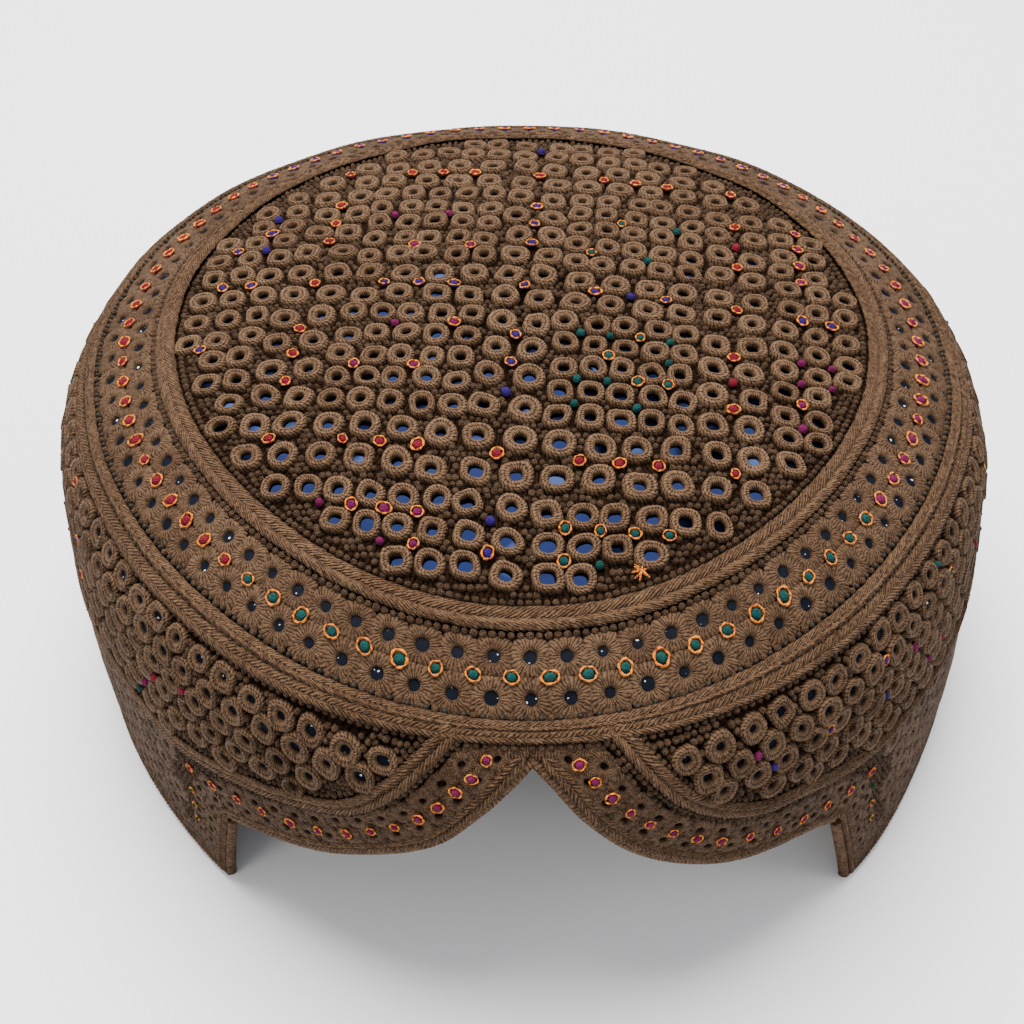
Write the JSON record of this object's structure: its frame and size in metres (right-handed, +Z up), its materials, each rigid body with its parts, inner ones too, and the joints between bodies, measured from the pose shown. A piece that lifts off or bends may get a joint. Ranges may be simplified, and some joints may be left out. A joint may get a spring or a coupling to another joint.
{
  "type": "sindhi cap",
  "caption": "Round cloth cap with a gently domed crown, an upright wall cut to a pointed arch in front, braided seams and corded edges, densely embroidered.",
  "frame": {"origin": "middle of the footprint, at the level that the cap stands on", "axes": "+Z up through the crown, -Y towards the face opening in front, +X to the right as seen from the front"},
  "size_m": [0.1878, 0.1888, 0.0815],
  "materials": {
    "eyelet_field": "tobacco-brown cotton thread in raised eyelets over a dark ground cloth",
    "wall_field": "tobacco-brown cotton thread in raised and flat eyelets over a dark ground cloth",
    "braid_thread": "plaited and herringbone-stitched cotton thread with a soft sheen",
    "edge_cord": "overcast cotton cord"
  },
  "bodies": {
    "root": {"crown": "eyelet_field", "side_band": "wall_field", "inner_braid": "braid_thread", "upper_rim_braid": "braid_thread", "lower_rim_braid": "braid_thread", "panel_braid": "braid_thread", "arch_cord": "edge_cord", "foot_cord": "edge_cord"}
  },
  "joints": []
}
